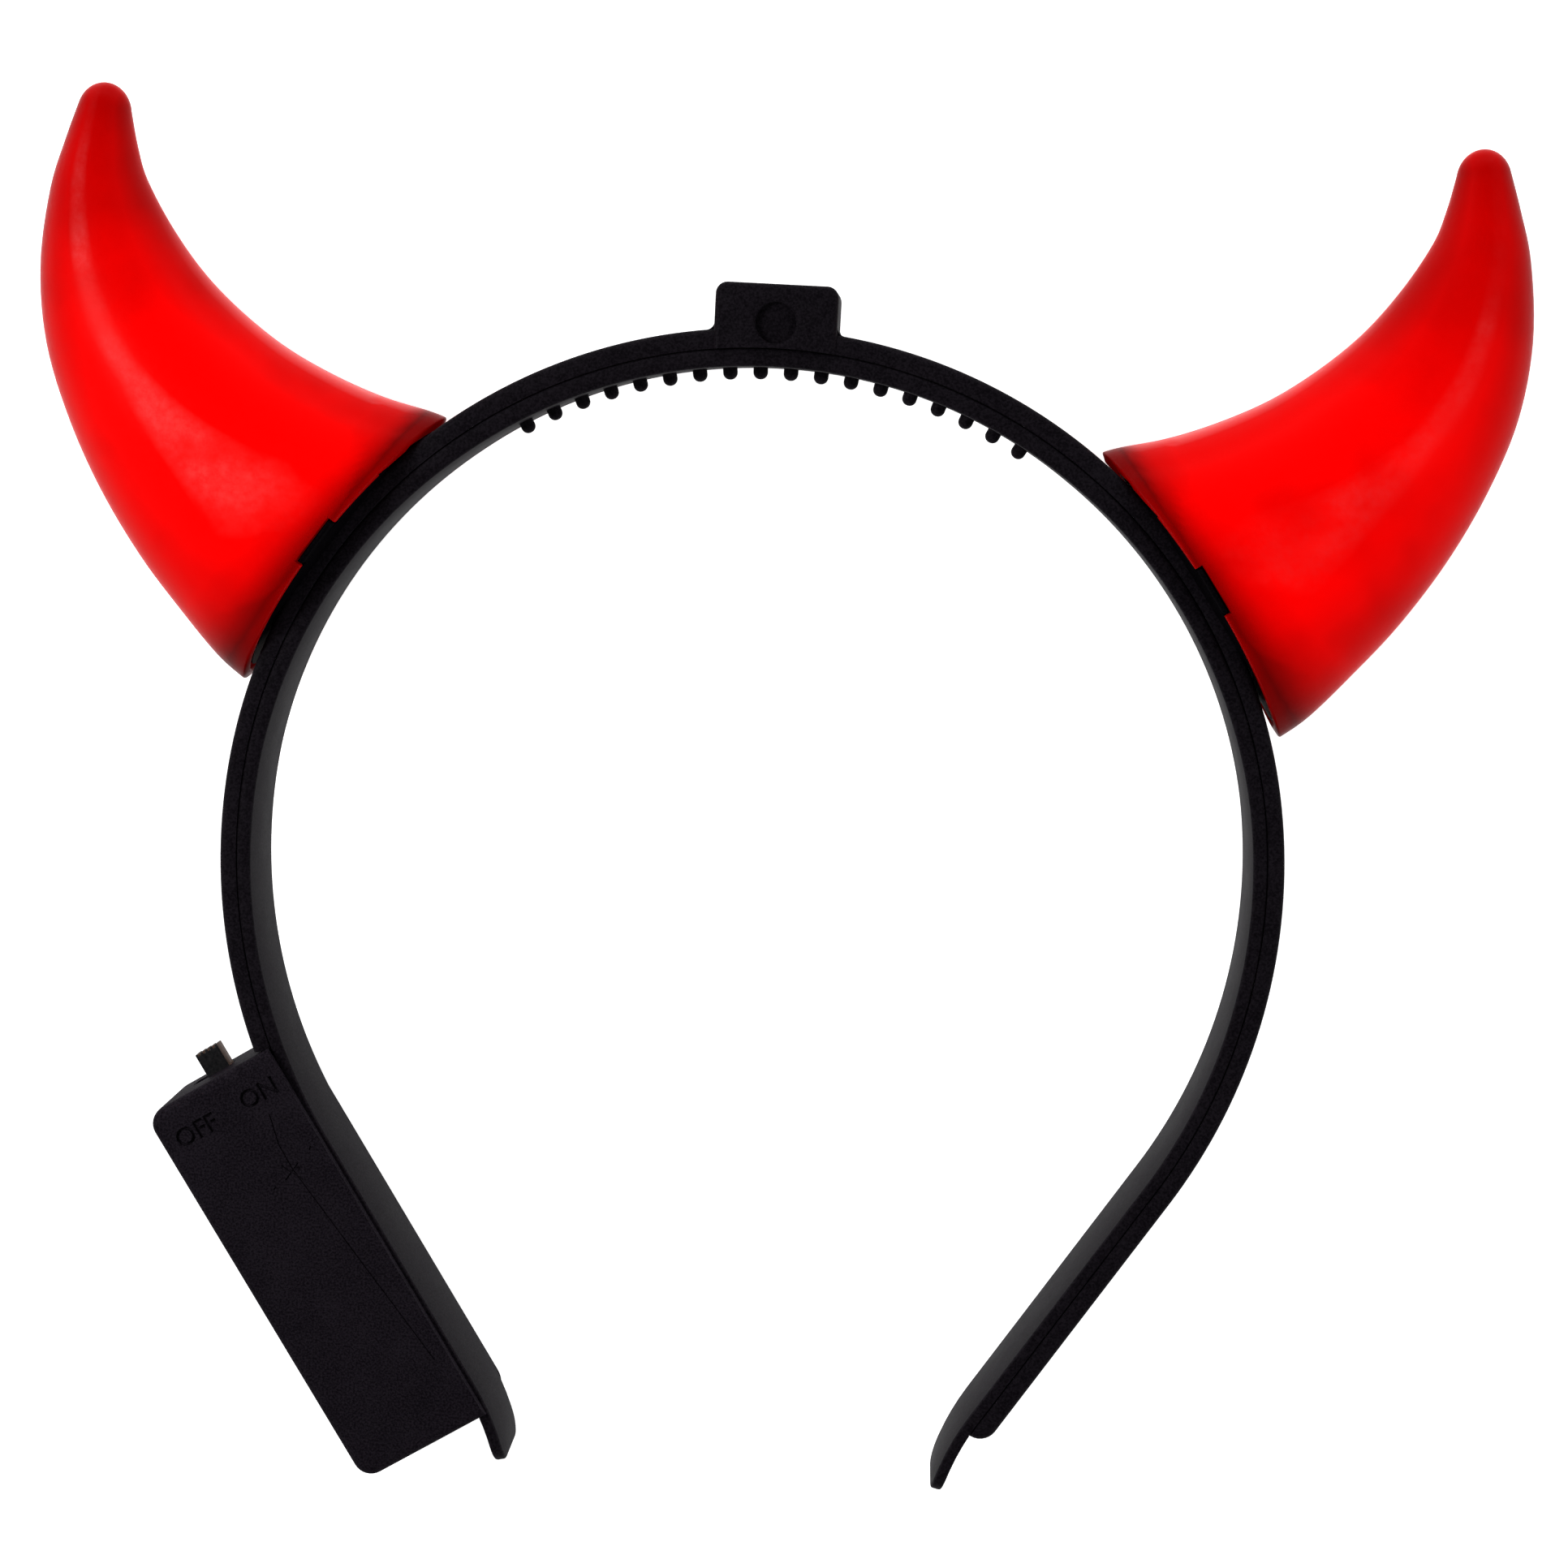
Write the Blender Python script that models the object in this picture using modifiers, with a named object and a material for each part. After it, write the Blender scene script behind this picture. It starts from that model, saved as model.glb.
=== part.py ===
# Light-up devil horns headband, lying on its back.
# Metres, +Z up. The hoop lies flat in XY: the crown is at +Y, the two free ends at -Y,
# and the side that faces a viewer of the worn band is +Z. The hoop is modelled round its own
# centre, and an empty then puts the origin under the middle of the whole thing.

import math

import bmesh
import bpy
from mathutils import Matrix, Vector

MM = 0.001
GAP = 0.3 * MM                     # air between neighbouring pieces
EASE = 0.05 * MM                   # keeps surfaces of one piece from coinciding

# The hoop: the line of its outer surface, from the crown down to each free end
RING_RADIUS = 69.5 * MM
RING_HALF_ANGLE = 80.0             # degrees of true circle on each side of the crown
LOWER_RADIUS = 75.2 * MM           # the slightly opener arc below the circle
LEG_LEAN = 32.7                    # degrees between a straight leg and the Y axis
LEG_STRAIGHT = 39.1 * MM
CURL_RADIUS = 31.0 * MM
CURL_TURN = 19.0                   # degrees that each end curls outwards

BAND_DEPTH = 13.0 * MM             # front edge to back edge
COVER_THICKNESS = 2.5 * MM         # outer channel that hides the wires
COVER_WALL = 1.2 * MM
COVER_LIP = 1.4 * MM               # side walls of the channel
COVER_ROUND = 0.9 * MM
COVER_END_ROUND = 3.0 * MM         # the cover's nose on the right leg
COVER_END_SETBACK = 8.4 * MM       # from the right end of the comb band
COMB_THICKNESS = 2.05 * MM
COMB_ROUND = 0.45 * MM

# Thickness along the hoop, as shares of the two thicknesses above
# columns: place (0 crown, 1 free end), cover, comb band
THICKNESS_TABLE = (
    (0.00, 1.00, 1.00),
    (0.22, 0.98, 0.98),
    (0.48, 0.86, 0.82),
    (0.75, 0.96, 0.66),
    (1.00, 1.00, 0.64),
)

TOOTH_COUNT = 18
TOOTH_PITCH = 3.52                 # degrees
TOOTH_DIAMETER = 1.65 * MM
TOOTH_LENGTH = 1.5 * MM            # below the comb band
TOOTH_SIDES = 10

# The lug on the crown
LUG_WIDTH = 15.7 * MM
LUG_HEIGHT = 5.6 * MM              # above the cover
LUG_PROUD = 0.5 * MM               # in front of and behind the band
LUG_CORNER = 1.5 * MM
LUG_FILLET = 1.2 * MM
LUG_EDGE = 0.9 * MM
LUG_DIMPLE_DIAMETER = 5.2 * MM
LUG_DIMPLE_DEPTH = 0.6 * MM
LUG_DIMPLE_ABOVE = 0.7 * MM        # its centre above the cover's surface

# The horns
HORN_ANGLE = 55.3                  # degrees from the crown to the middle of a horn's base
HORN_RISE = 56.0 * MM              # band surface to about the start of the rounded tip
HORN_WIDTH = 42.0 * MM             # of the base, along the band
HORN_DEPTH = 24.0 * MM             # of the base, front to back
HORN_TIP_LENGTH = 3.1 * MM         # of the rounded tip beyond the last section
HORN_TIP_START = 12.0              # degrees of lean that the rounded tip starts with
HORN_TIP_RINGS = (34.0, 56.0, 78.0)
HORN_WALL = 1.5 * MM
HORN_SIDES = 36
HORN_SECTIONS = 16
RIM_RADIUS = 140.0 * MM            # the saddle curve of the rim, flatter than the band
RIM_SINK = 0.45 * MM               # how far the rim drops in front of the band's surface

# Sections of a horn from its base to its tip
# columns: rise and sway as shares of HORN_RISE, width and depth as shares of the base,
# tilt in degrees, share of the rim's saddle curve
HORN_TABLE = (
    (-0.008, -0.003, 1.043, 1.00, -0.7, 1.00),
    (0.0445, -0.006, 1.020, 1.00, -3.8, 0.70),
    (0.148, -0.009, 0.932, 0.99, -6.9, 0.35),
    (0.274, -0.002, 0.843, 0.96, -10.9, 0.10),
    (0.421, 0.023, 0.740, 0.91, -16.5, 0.00),
    (0.563, 0.067, 0.643, 0.83, -22.6, 0.00),
    (0.698, 0.129, 0.544, 0.73, -29.5, 0.00),
    (0.817, 0.215, 0.431, 0.61, -37.2, 0.00),
    (0.919, 0.321, 0.300, 0.47, -46.8, 0.00),
    (0.970, 0.400, 0.222, 0.375, -55.5, 0.00),
    (1.012, 0.4735, 0.161, 0.283, -62.0, 0.00),
)

NOTCH_WIDTH = 7.1 * MM             # in the front and back of the rim
NOTCH_HEIGHT = 0.9 * MM
SEAT_HEIGHT = 3.4 * MM             # black plug inside the base
SEAT_INSET = 1.3 * HORN_WALL + GAP # from the horn's outside, whose wall slants

# The battery box on the left leg, placed along the leg from the hoop's centre
CASE_START = -10.2 * MM            # along the leg, end face with the switch
CASE_LENGTH = 57.3 * MM
CASE_REACH = 17.9 * MM             # outwards from the comb band
CASE_OVERHANG = 1.3 * MM           # lips over the comb band's front and back edges
CASE_LIP_WALL = 1.2 * MM
CASE_WALL = 1.3 * MM
CASE_CORNER = 2.5 * MM
CASE_EDGE = 1.1 * MM
LID_THICKNESS = 1.2 * MM

# The slide switch
KNOB_WIDTH = 3.4 * MM              # along its travel
KNOB_DEPTH = 2.4 * MM
KNOB_PROUD = 3.4 * MM
KNOB_BACKSET = 1.0 * MM            # behind the middle of the box
KNOB_OFFSET = 0.4 * MM             # of the slot's middle, outwards from the middle of the end
KNOB_TRAVEL = 2.0 * MM             # from ON, where it rests, to OFF
KNOB_RIDGES = 5
KNOB_RIDGE_HEIGHT = 0.35 * MM
KNOB_FOOT_EXTRA = 1.6 * MM         # the foot behind the wall, each side
KNOB_FOOT_HEIGHT = 1.0 * MM

RING_STEP = 4.5                    # degrees between sections of the hoop


def material(name, color, roughness, alpha=1.0):
    """A plain plastic finish."""
    mat = bpy.data.materials.new(name)
    mat.use_nodes = True
    shader = mat.node_tree.nodes["Principled BSDF"]
    shader.inputs["Base Color"].default_value = (*color, 1.0)
    shader.inputs["Roughness"].default_value = roughness
    shader.inputs["Metallic"].default_value = 0.0
    shader.inputs["Alpha"].default_value = alpha
    return mat


def add_object(name, mesh, mat=None):
    """Link a mesh to the model's collection, or to the cutters when it has no material."""
    obj = bpy.data.objects.new(name, mesh)
    if mat is None:
        cutters.objects.link(obj)
        obj.hide_render = True
        obj.display_type = "WIRE"
    else:
        model.objects.link(obj)
        obj.data.materials.append(mat)
    return obj


def finish_mesh(name, bm):
    bmesh.ops.recalc_face_normals(bm, faces=bm.faces)
    mesh = bpy.data.meshes.new(name)
    bm.to_mesh(mesh)
    bm.free()
    mesh.shade_smooth()
    mesh.set_sharp_from_angle(angle=math.radians(35))
    return mesh


def loft(name, rings, close_start=True, close_end=True):
    """Skin a row of rings of equal point counts into one mesh."""
    bm = bmesh.new()
    loops = [[bm.verts.new(point) for point in ring] for ring in rings]
    count = len(rings[0])
    for first, second in zip(loops, loops[1:]):
        for i in range(count):
            j = (i + 1) % count
            bm.faces.new((first[i], first[j], second[j], second[i]))
    if close_start:
        bm.faces.new(loops[0][::-1])
    if close_end:
        bm.faces.new(loops[-1])
    return finish_mesh(name, bm)


def block(name, low, high):
    """A box between two corners."""
    bm = bmesh.new()
    bmesh.ops.create_cube(bm, size=1.0)
    low, high = Vector(low), Vector(high)
    bmesh.ops.scale(bm, vec=high - low, verts=bm.verts)
    bmesh.ops.translate(bm, vec=(low + high) / 2, verts=bm.verts)
    return finish_mesh(name, bm)


def prism(name, outline, low, high):
    """A flat outline in XY carried from one height to another."""
    return loft(name, [[(x, y, z) for x, y in outline] for z in (low, high)])


def ring_sector(name, inner, outer, half_depth, start, end):
    """A block bent round the hoop's centre; angles in degrees from the crown."""
    steps = max(2, round(abs(end - start) / RING_STEP))
    rings = []
    for i in range(steps + 1):
        angle = math.radians(start + (end - start) * i / steps)
        out = Vector((math.sin(angle), math.cos(angle), 0))
        corners = ((inner, -1), (outer, -1), (outer, 1), (inner, 1))
        rings.append([out * r + Vector((0, 0, side * half_depth)) for r, side in corners])
    return loft(name, rings)


def boolean(obj, tool, operation):
    modifier = obj.modifiers.new(operation.title(), "BOOLEAN")
    modifier.operation = operation
    modifier.solver = "EXACT"
    modifier.object = tool


def band_runs():
    """Length and turn, in radians, of each run of the hoop's outer line."""
    circle = math.radians(RING_HALF_ANGLE)
    lower = math.radians(90 + LEG_LEAN - RING_HALF_ANGLE)
    curl = math.radians(CURL_TURN)
    return (
        (RING_RADIUS * circle, circle),
        (LOWER_RADIUS * lower, lower),
        (LEG_STRAIGHT, 0.0),
        (CURL_RADIUS * curl, -curl),
    )


def band_length():
    return sum(length for length, turn in band_runs())


def band_point(length):
    """Point and outward normal of the outer line, at a length from the crown (left is -)."""
    side = -1 if length < 0 else 1
    left = abs(length)
    point = Vector((0, RING_RADIUS, 0))
    angle = 0.0
    for run, turn in band_runs():
        step = min(left, run)
        if turn:
            radius = run / turn
            centre = point - radius * Vector((math.sin(angle), math.cos(angle), 0))
            angle += step / radius
            point = centre + radius * Vector((math.sin(angle), math.cos(angle), 0))
        else:
            point = point + step * Vector((math.cos(angle), -math.sin(angle), 0))
        left -= step
        if left <= 0:
            break
    normal = Vector((side * math.sin(angle), math.cos(angle), 0))
    return Vector((side * point.x, point.y, 0)), normal


def band_stations(start, end):
    """Lengths from the crown between two ends, closer together where the hoop bends."""
    breaks = [0.0]
    for run, turn in band_runs():
        steps = max(1, round(abs(math.degrees(turn)) / RING_STEP))
        first = breaks[-1]
        breaks += [first + run * (i + 1) / steps for i in range(steps)]
    both = sorted({-b for b in breaks} | set(breaks))
    inside = [b for b in both if start + 0.5 * MM < b < end - 0.5 * MM]
    return [start] + inside + [end]


def thickness(length):
    """Cover and comb band thickness at a length from the crown."""
    place = min(1.0, abs(length) / band_length())
    for low, high in zip(THICKNESS_TABLE, THICKNESS_TABLE[1:]):
        if place <= high[0]:
            share = (place - low[0]) / (high[0] - low[0])
            cover = low[1] + (high[1] - low[1]) * share
            comb = low[2] + (high[2] - low[2]) * share
            return cover * COVER_THICKNESS, comb * COMB_THICKNESS
    return COVER_THICKNESS, COMB_THICKNESS


def across(length, profile):
    """Place a profile of (depth below the outer line, height) points on the hoop."""
    point, normal = band_point(length)
    return [point - normal * below + Vector((0, 0, height)) for below, height in profile]


def corner(below, height, radius, start, steps=3):
    """Quarter circle of a profile, counted in degrees from the outward direction."""
    points = []
    for i in range(steps + 1):
        angle = math.radians(start + 90 * i / steps)
        points.append((below - radius * math.cos(angle), height + radius * math.sin(angle)))
    return points


def comb_profile(length):
    cover, comb = thickness(length)
    top = cover + GAP + COMB_ROUND
    low = cover + GAP + comb - COMB_ROUND
    half = BAND_DEPTH / 2 - COMB_ROUND
    return (
        corner(top, half, COMB_ROUND, 0, 2)
        + corner(low, half, COMB_ROUND, 90, 2)
        + corner(low, -half, COMB_ROUND, 180, 2)
        + corner(top, -half, COMB_ROUND, 270, 2)
    )


def make_comb_band():
    """The strip that grips the head, tip to tip, with its row of pegs."""
    end = band_length()
    rings = [across(s, comb_profile(s)) for s in band_stations(-end, end)]
    band = add_object("comb_band", loft("comb_band", rings), black)
    bm = bmesh.new()
    cover, comb = thickness(0)
    surface = RING_RADIUS - cover - GAP - comb
    height = TOOTH_LENGTH + comb / 2
    for i in range(TOOTH_COUNT):
        angle = math.radians((i - (TOOTH_COUNT - 1) / 2) * TOOTH_PITCH)
        made = bmesh.ops.create_cone(
            bm, cap_ends=True, segments=TOOTH_SIDES, depth=height,
            radius1=TOOTH_DIAMETER / 2, radius2=TOOTH_DIAMETER / 2)["verts"]
        tip = [e for e in {e for v in made for e in v.link_edges}
               if all(v.co.z < 0 for v in e.verts)]
        rounded = bmesh.ops.bevel(
            bm, geom=tip, offset=TOOTH_DIAMETER * 0.4, segments=2, profile=0.5,
            affect="EDGES", clamp_overlap=True, material=-1)
        verts = list({v for v in made if v.is_valid} | set(rounded["verts"]))
        radius = surface - TOOTH_LENGTH + height / 2
        turn = Matrix.Rotation(-angle, 4, "Z") @ Matrix.Translation((0, radius, 0))
        turn = turn @ Matrix.Rotation(math.radians(-90), 4, "X")
        bmesh.ops.transform(bm, matrix=turn, verts=verts)
    boolean(band, add_object("comb_pegs", finish_mesh("comb_pegs", bm)), "UNION")
    return band


def cover_profile(length, nose=0.0, filled=0.0):
    """The channel's section; nose lowers the outer face, filled raises the channel floor."""
    cover, comb = thickness(length)
    outer = nose * (cover - COVER_ROUND - 4 * EASE)
    wall = COVER_WALL + (cover - COVER_WALL) * filled
    floor = max(min(wall, cover - EASE), outer + 2 * EASE)
    half = BAND_DEPTH / 2
    inside = half - COVER_LIP
    return (
        corner(outer + COVER_ROUND, half - COVER_ROUND, COVER_ROUND, 0)
        + [(cover, half), (cover, inside), (floor, inside)]
        + [(floor, -inside), (cover, -inside), (cover, -half)]
        + corner(outer + COVER_ROUND, -half + COVER_ROUND, COVER_ROUND, 270)
    )


def case_end_length():
    """Length from the crown to where the battery box begins on the left leg."""
    straight_from = sum(length for length, turn in band_runs()[:2])
    lower = math.radians(90 + LEG_LEAN - RING_HALF_ANGLE)
    lead = (LOWER_RADIUS - RING_RADIUS) * math.sin(lower)
    along = lead - CASE_START
    return -(straight_from - LOWER_RADIUS * math.asin(along / LOWER_RADIUS))


def lug_outline():
    """Outline of the lug seen from the front, from its left foot round to its right foot."""
    half = LUG_WIDTH / 2
    top = RING_RADIUS + LUG_HEIGHT
    foot_x = half + LUG_FILLET
    foot_y = math.sqrt(RING_RADIUS ** 2 - foot_x ** 2) - 2 * EASE
    right = []
    for i in range(4):
        angle = math.radians(90 * i / 3)
        right.append((half - LUG_CORNER * (1 - math.sin(angle)),
                      top - LUG_CORNER * (1 - math.cos(angle))))
    for i in range(4):
        angle = math.radians(90 * i / 3)
        right.append((foot_x - LUG_FILLET * math.cos(angle),
                      foot_y + LUG_FILLET * (1 - math.sin(angle))))
    inner = RING_RADIUS - thickness(0)[0]
    reach = math.asin(foot_x / inner)
    for i in range(3):
        angle = reach * (1 - i / 3)
        right.append((inner * math.sin(angle), inner * math.cos(angle)))
    left = [(-x, y) for x, y in reversed(right)]
    return right + [(0, inner)] + left


def make_band_cover():
    """The outer channel with the lug on its crown."""
    end = band_length() - COVER_END_SETBACK
    start = case_end_length() + GAP
    nose = COVER_END_ROUND
    channel_end = end - 2 * nose
    rings = [across(s, cover_profile(s)) for s in band_stations(start, channel_end)]
    rings.append(across(channel_end + 0.2 * nose, cover_profile(end, 0.0, 1.0)))
    for i in range(5):
        share = i / 4
        lower = 1 - math.sqrt(max(0.0, 1 - share ** 2))
        rings.append(across(end - nose * (1 - share), cover_profile(end, lower, 1.0)))
    cover = add_object("band_cover", loft("band_cover", rings), black)

    depth = BAND_DEPTH / 2 + LUG_PROUD
    lug = add_object("crown_lug", prism("crown_lug", lug_outline(), -depth, depth))
    bevel = lug.modifiers.new("Bevel", "BEVEL")
    bevel.width = LUG_EDGE
    bevel.segments = 2
    bevel.limit_method = "ANGLE"
    bevel.angle_limit = math.radians(60)
    reach = math.degrees(LUG_WIDTH / RING_RADIUS)
    slot = ring_sector("lug_slot", RING_RADIUS - 2 * COVER_THICKNESS,
                       RING_RADIUS - COVER_WALL - EASE, BAND_DEPTH / 2 - COVER_LIP + EASE,
                       -reach, reach)
    boolean(lug, add_object("lug_slot", slot), "DIFFERENCE")
    boolean(cover, lug, "UNION")
    bm = bmesh.new()
    bmesh.ops.create_cone(bm, cap_ends=True, segments=24, depth=2 * LUG_DIMPLE_DEPTH,
                          radius1=LUG_DIMPLE_DIAMETER / 2, radius2=LUG_DIMPLE_DIAMETER / 2)
    bmesh.ops.translate(bm, vec=(0, RING_RADIUS + LUG_DIMPLE_ABOVE, depth), verts=bm.verts)
    dimple = add_object("lug_dimple", finish_mesh("lug_dimple", bm))
    boolean(cover, dimple, "DIFFERENCE")
    return cover


def horn_row(place):
    """A section of the horn between the rows of the table, on a smooth curve."""
    last = len(HORN_TABLE) - 1
    index = min(int(place * last), last - 1)
    share = place * last - index
    rows = [HORN_TABLE[max(0, min(last, index + k))] for k in (-1, 0, 1, 2)]
    values = []
    for a, b, c, d in zip(*rows):
        values.append(0.5 * (2 * b + (c - a) * share + (2 * a - 5 * b + 4 * c - d) * share ** 2
                             + (3 * b - a - 3 * c + d) * share ** 3))
    return values


def horn_axes(side):
    """Directions outwards and along the band, at the middle of a horn's base."""
    angle = math.radians(HORN_ANGLE)
    outward = Vector((side * math.sin(angle), math.cos(angle), 0))
    along = Vector((-side * math.cos(angle), math.sin(angle), 0))
    return outward, along


def saddle_drop(along):
    return RIM_RADIUS - math.sqrt(RIM_RADIUS ** 2 - along ** 2)


def horn_ring(side, row, inset=0.0, lift=0.0, scale=1.0):
    """One oval section of a horn; inset shrinks it and lift moves it along its own axis."""
    rise, sway, width, depth, tilt, saddle = row
    outward, along = horn_axes(side)
    tilt = math.radians(tilt)
    chord = along * math.cos(tilt) + outward * math.sin(tilt)
    growth = outward * math.cos(tilt) - along * math.sin(tilt)
    centre = outward * (RING_RADIUS + rise * HORN_RISE) + along * (sway * HORN_RISE)
    half_width = (width * HORN_WIDTH / 2 - inset) * scale
    half_depth = (depth * HORN_DEPTH / 2 - inset) * scale
    ring = []
    for i in range(HORN_SIDES):
        angle = 2 * math.pi * (i + 0.5) / HORN_SIDES
        reach = half_width * math.cos(angle)
        point = centre + chord * reach + Vector((0, 0, half_depth * math.sin(angle)))
        ring.append(point + growth * lift - outward * saddle_drop(reach) * saddle)
    return ring


def band_clearance(side, name):
    """The space that the band takes under a horn, with a gap all round."""
    reach = math.degrees(HORN_WIDTH / RING_RADIUS)
    middle = side * HORN_ANGLE
    bed = ring_sector(name + "_bed", RING_RADIUS * 0.9, RING_RADIUS + GAP,
                      BAND_DEPTH / 2 + GAP, middle - reach, middle + reach)
    return add_object(name + "_bed", bed)


def make_horn(side, name):
    """A hollow translucent shell, open at its saddle-shaped base."""
    rings = [horn_ring(side, horn_row(i / (HORN_SECTIONS - 1))) for i in range(HORN_SECTIONS)]
    lean = math.radians(HORN_TIP_START)
    for degrees in HORN_TIP_RINGS:
        angle = math.radians(degrees)
        lift = HORN_TIP_LENGTH * (math.sin(angle) - math.sin(lean)) / (1 - math.sin(lean))
        rings.append(horn_ring(side, HORN_TABLE[-1], lift=lift,
                               scale=math.cos(angle) / math.cos(lean)))
    horn = add_object(name, loft(name, rings, close_start=False), red)
    wall = horn.modifiers.new("Solidify", "SOLIDIFY")
    wall.thickness = HORN_WALL
    wall.offset = -1
    wall.use_even_offset = True
    wall.use_rim = True
    top = RING_RADIUS - RIM_SINK + NOTCH_HEIGHT
    half = NOTCH_WIDTH / 2
    notch = block(name + "_notch", (-half, RING_RADIUS * 0.9, -HORN_DEPTH),
                  (half, top, HORN_DEPTH))
    tool = add_object(name + "_notch", notch)
    tool.rotation_euler.z = math.radians(-side * HORN_ANGLE)
    boolean(horn, tool, "DIFFERENCE")
    boolean(horn, band_clearance(side, name), "DIFFERENCE")
    return horn


def make_horn_seat(side, name):
    """The black plug that closes a horn's base and shows through the rim's notches."""
    base = HORN_TABLE[0]
    upper = list(HORN_TABLE[1])
    upper[0] = SEAT_HEIGHT / HORN_RISE
    upper[5] = base[5]
    rings = [horn_ring(side, base, SEAT_INSET), horn_ring(side, upper, SEAT_INSET)]
    seat = add_object(name, loft(name, rings), black)
    half = NOTCH_WIDTH / 2 - GAP
    bottom = RING_RADIUS - RIM_SINK
    tab = block(name + "_tab", (-half, bottom, -HORN_DEPTH / 2),
                (half, bottom + NOTCH_HEIGHT - GAP, HORN_DEPTH / 2))
    tool = add_object(name + "_tab", tab)
    tool.rotation_euler.z = math.radians(-side * HORN_ANGLE)
    boolean(seat, tool, "UNION")
    boolean(seat, band_clearance(side, name), "DIFFERENCE")
    return seat


def leg_offset():
    """Distance from the hoop's centre to the straight part of the outer line."""
    lower = math.radians(90 + LEG_LEAN - RING_HALF_ANGLE)
    return RING_RADIUS + (LOWER_RADIUS - RING_RADIUS) * (1 - math.cos(lower))


def case_inner():
    """Distance from the hoop's centre to the face of the battery box that meets the band."""
    straight = sum(length for length, turn in band_runs()[:3])
    return leg_offset() - thickness(straight)[0] + GAP / 2


def case_half_depth():
    return BAND_DEPTH / 2 + GAP + CASE_LIP_WALL


def make_battery_case():
    """The box on the left leg, open at the back, with lips that grip the comb band."""
    inner = case_inner()
    outer = inner + CASE_REACH
    edge = inner - CASE_OVERHANG
    low, high = CASE_START, CASE_START + CASE_LENGTH
    half = case_half_depth()
    mesh = block("battery_case", (edge, low, -half), (outer, high, half))
    bm = bmesh.new()
    bm.from_mesh(mesh)
    corners = [e for e in bm.edges if all(v.co.x > inner for v in e.verts)
               and abs(e.verts[0].co.z - e.verts[1].co.z) > half]
    bmesh.ops.bevel(bm, geom=corners, offset=CASE_CORNER, segments=4, profile=0.5,
                    affect="EDGES", material=-1)
    rims = [e for e in bm.edges if abs(e.verts[0].co.z - e.verts[1].co.z) < GAP
            and not all(v.co.x < inner for v in e.verts)]
    bmesh.ops.bevel(bm, geom=rims, offset=CASE_EDGE, segments=3, profile=0.5,
                    affect="EDGES", material=-1)
    case = add_object("battery_case", finish_mesh("battery_case", bm), black)
    wall = CASE_WALL
    room = block("case_room", (inner + wall, low + wall, -2 * half),
                 (outer - wall, high - wall, half - wall))
    boolean(case, add_object("case_room", room), "DIFFERENCE")
    bed = BAND_DEPTH / 2 + GAP
    slot = block("case_bed", (edge - wall, low - wall, -bed), (inner, high + wall, bed))
    boolean(case, add_object("case_bed", slot), "DIFFERENCE")
    middle = knob_middle()
    side = (KNOB_WIDTH + KNOB_TRAVEL) / 2 + GAP
    deep = KNOB_DEPTH / 2 + GAP
    mouth = block("case_mouth", (middle - side, low - wall, -KNOB_BACKSET - deep),
                  (middle + side, low + 2 * wall, -KNOB_BACKSET + deep))
    boolean(case, add_object("case_mouth", mouth), "DIFFERENCE")
    return case


def make_battery_cover():
    """The plain plate that closes the back of the box."""
    inset = CASE_WALL + GAP
    half = case_half_depth()
    low = (case_inner() + inset, CASE_START + inset, -half)
    high = (case_inner() + CASE_REACH - inset, CASE_START + CASE_LENGTH - inset,
            -half + LID_THICKNESS)
    return add_object("battery_cover", block("battery_cover", low, high), black)


def knob_middle():
    """Middle of the switch's slot, from the hoop's centre."""
    return case_inner() + CASE_REACH / 2 + KNOB_OFFSET


def make_switch_knob():
    """The slide switch: a ridged stem on a wider foot, its origin at the ON place."""
    half = KNOB_WIDTH / 2
    foot = half + KNOB_FOOT_EXTRA
    behind = CASE_WALL + GAP
    outline = [(-foot, behind + KNOB_FOOT_HEIGHT), (foot, behind + KNOB_FOOT_HEIGHT),
               (foot, behind), (half, behind)]
    for i in range(KNOB_RIDGES):
        right = half - KNOB_WIDTH * i / KNOB_RIDGES
        pitch = KNOB_WIDTH / KNOB_RIDGES
        valley = -KNOB_PROUD + KNOB_RIDGE_HEIGHT
        outline += [(right, valley), (right - 0.3 * pitch, -KNOB_PROUD),
                    (right - 0.7 * pitch, -KNOB_PROUD)]
    outline += [(-half, -KNOB_PROUD + KNOB_RIDGE_HEIGHT), (-half, behind), (-foot, behind)]
    mesh = prism("switch_knob", outline, -KNOB_DEPTH / 2, KNOB_DEPTH / 2)
    knob = add_object("switch_knob", mesh, grey)
    knob.location = (knob_middle() - KNOB_TRAVEL / 2, CASE_START, -KNOB_BACKSET)
    return knob


def world_bounds(objects):
    """Lowest and highest corners of the finished pieces."""
    graph = bpy.context.evaluated_depsgraph_get()
    points = []
    for obj in objects:
        shape = obj.evaluated_get(graph).to_mesh()
        points += [obj.matrix_world @ v.co for v in shape.vertices]
    low = Vector([min(p[k] for p in points) for k in range(3)])
    high = Vector([max(p[k] for p in points) for k in range(3)])
    return low, high


for old in list(bpy.data.objects):
    bpy.data.objects.remove(old)

model = bpy.data.collections.new("devil_horns_headband")
cutters = bpy.data.collections.new("cutters")
bpy.context.scene.collection.children.link(model)
bpy.context.scene.collection.children.link(cutters)

black = material("black_plastic", (0.018, 0.016, 0.020), 0.48)
grey = material("switch_plastic", (0.045, 0.050, 0.060), 0.45)
red = material("red_horn_plastic", (0.80, 0.004, 0.006), 0.35, 0.92)

hoop = [make_comb_band(), make_band_cover()]
for side, word in ((-1, "left"), (1, "right")):
    hoop.append(make_horn(side, "horn_" + word))
    hoop.append(make_horn_seat(side, "horn_seat_" + word))
boxed = [make_battery_case(), make_battery_cover(), make_switch_knob()]

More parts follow.
